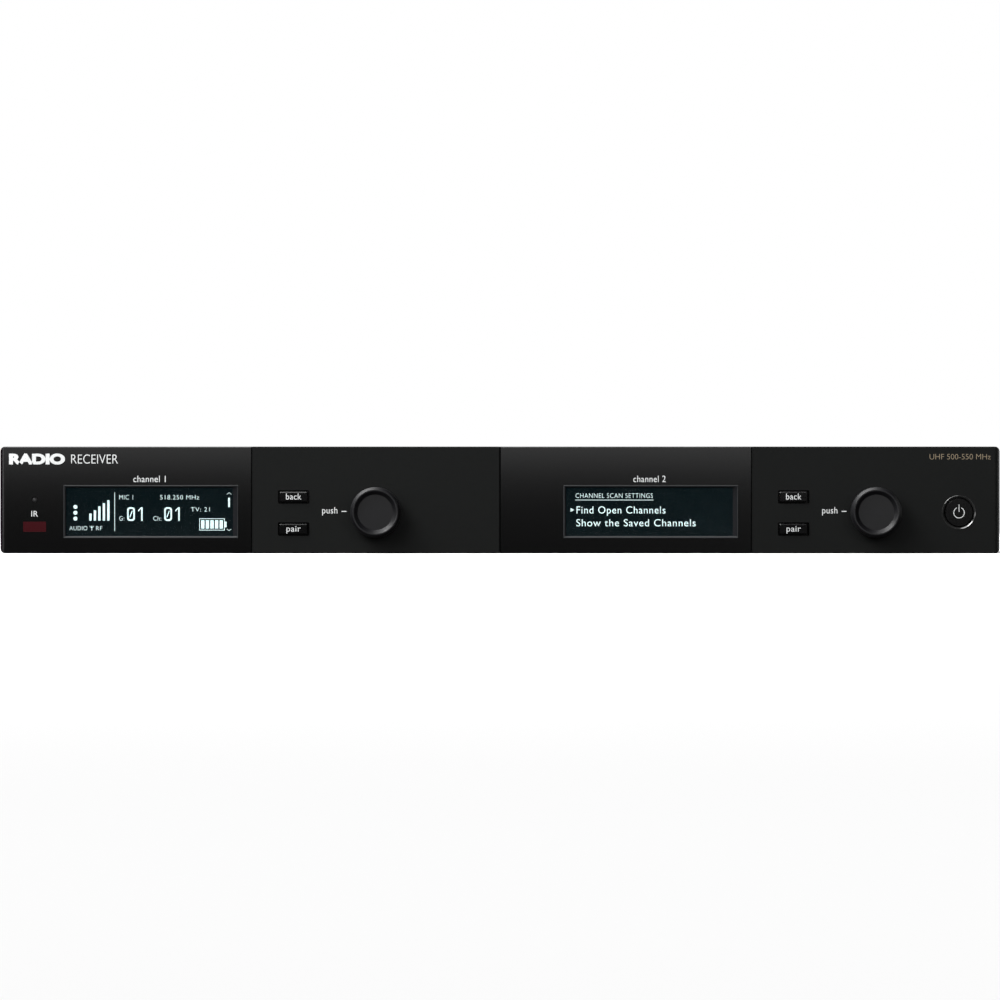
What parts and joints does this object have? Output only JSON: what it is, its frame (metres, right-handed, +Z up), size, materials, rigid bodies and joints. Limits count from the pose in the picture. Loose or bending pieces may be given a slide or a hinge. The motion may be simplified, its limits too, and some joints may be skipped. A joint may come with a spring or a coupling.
{
  "type": "wireless microphone receiver",
  "caption": "Rack-width dual-channel wireless receiver with a display, two keys and a push-turn knob for each channel, a power key, and connectors on the back.",
  "frame": {"origin": "centre of the flat underside, midway between the front face and the rear panel", "axes": "+X to the right seen from the front, +Y from the front to the back, +Z up"},
  "size_m": [0.393, 0.152, 0.042],
  "materials": {
    "case_paint": "satin fine texture",
    "gloss_black": "gloss",
    "matt_black": "fine matt",
    "bezel_black": "fine matt",
    "key_black": "semi-gloss",
    "knob_black": "satin",
    "clear_window": "clear",
    "display_glass": "gloss",
    "infrared_red": "deep red, gloss",
    "light_pipe": "frosted",
    "board_green": "solder resist",
    "chip_black": "moulded",
    "ribbon_grey": "satin",
    "connector_black": "fine matt",
    "insulator_white": "waxy",
    "screw_black": "black zinc",
    "zinc_steel": "zinc plated",
    "nickel": "nickel plated",
    "tin_shield": "tin plated",
    "gold_contact": "gold plated",
    "brass": "plain"
  },
  "bodies": {
    "root": {"antenna_jack_a": "nickel", "antenna_jack_b": "nickel", "antenna_jack_contacts": "gold_contact", "antenna_jack_insulators": "insulator_white", "antenna_jack_nuts": "nickel", "base_chassis": "case_paint", "bezel_screws": "zinc_steel", "board_components": "chip_black", "board_screws": "zinc_steel", "board_standoffs": "brass", "chassis_screws": "screw_black", "control_panel_1": "matt_black", "control_panel_2": "matt_black", "cord_hook": "screw_black", "dc_jack": "connector_black", "dc_jack_pin": "nickel", "display_module_1": "display_glass", "display_module_2": "display_glass", "display_window_1": "clear_window", "display_window_2": "clear_window", "encoder_bushings": "brass", "encoder_housing_1": "zinc_steel", "encoder_housing_2": "zinc_steel", "ethernet_contacts": "gold_contact", "ethernet_jack": "tin_shield", "front_bezel": "bezel_black", "front_board_1": "board_green", "front_board_2": "board_green", "front_board_screws": "zinc_steel", "ir_window": "infrared_red", "lens_panel_1": "gloss_black", "lens_panel_2": "gloss_black", "main_board": "board_green", "phone_jack_1": "connector_black", "phone_jack_2": "connector_black", "phone_jack_nuts": "nickel", "rack_ear_inserts": "zinc_steel", "rear_panel": "case_paint", "rf_shield_a": "tin_shield", "rf_shield_b": "tin_shield", "ribbon_cables": "ribbon_grey", "status_light_pipe": "light_pipe", "tact_switches": "chip_black", "top_cover": "case_paint", "xlr_housing_1": "connector_black", "xlr_housing_2": "connector_black", "xlr_inserts": "connector_black", "xlr_pins": "nickel", "xlr_screws": "screw_black"},
    "back_key_1": {"back_button_1": "key_black"},
    "pair_key_1": {"pair_button_1": "key_black"},
    "back_key_2": {"back_button_2": "key_black"},
    "pair_key_2": {"pair_button_2": "key_black"},
    "power_key": {"power_button": "key_black"},
    "encoder_push_1": {"encoder_plunger_1": "chip_black"},
    "encoder_turn_1": {"encoder_shaft_1": "zinc_steel", "knob_1": "knob_black"},
    "encoder_push_2": {"encoder_plunger_2": "chip_black"},
    "encoder_turn_2": {"encoder_shaft_2": "zinc_steel", "knob_2": "knob_black"}
  },
  "joints": [
    {"name": "back_press_1", "type": "slide", "parent": "root", "child": "back_key_1", "axis": [0, 1, 0], "range_m": [0, 0.0008], "stiffness_N_per_m": 1200, "springref_m": -0.0006},
    {"name": "pair_press_1", "type": "slide", "parent": "root", "child": "pair_key_1", "axis": [0, 1, 0], "range_m": [0, 0.0008], "stiffness_N_per_m": 1200, "springref_m": -0.0006},
    {"name": "back_press_2", "type": "slide", "parent": "root", "child": "back_key_2", "axis": [0, 1, 0], "range_m": [0, 0.0008], "stiffness_N_per_m": 1200, "springref_m": -0.0006},
    {"name": "pair_press_2", "type": "slide", "parent": "root", "child": "pair_key_2", "axis": [0, 1, 0], "range_m": [0, 0.0008], "stiffness_N_per_m": 1200, "springref_m": -0.0006},
    {"name": "power_press", "type": "slide", "parent": "root", "child": "power_key", "axis": [0, 1, 0], "range_m": [0, 0.0008], "stiffness_N_per_m": 1200, "springref_m": -0.0006},
    {"name": "knob_push_1", "type": "slide", "parent": "root", "child": "encoder_push_1", "axis": [0, 1, 0], "range_m": [0, 0.0006], "stiffness_N_per_m": 2000, "springref_m": -0.0006},
    {"name": "knob_turn_1", "type": "hinge", "parent": "encoder_push_1", "child": "encoder_turn_1", "pos_m": [-0.0489, -0.066, 0.01615], "axis": [0, -1, 0], "continuous": true},
    {"name": "knob_push_2", "type": "slide", "parent": "root", "child": "encoder_push_2", "axis": [0, 1, 0], "range_m": [0, 0.0006], "stiffness_N_per_m": 2000, "springref_m": -0.0006},
    {"name": "knob_turn_2", "type": "hinge", "parent": "encoder_push_2", "child": "encoder_turn_2", "pos_m": [0.1476, -0.066, 0.01615], "axis": [0, -1, 0], "continuous": true}
  ]
}
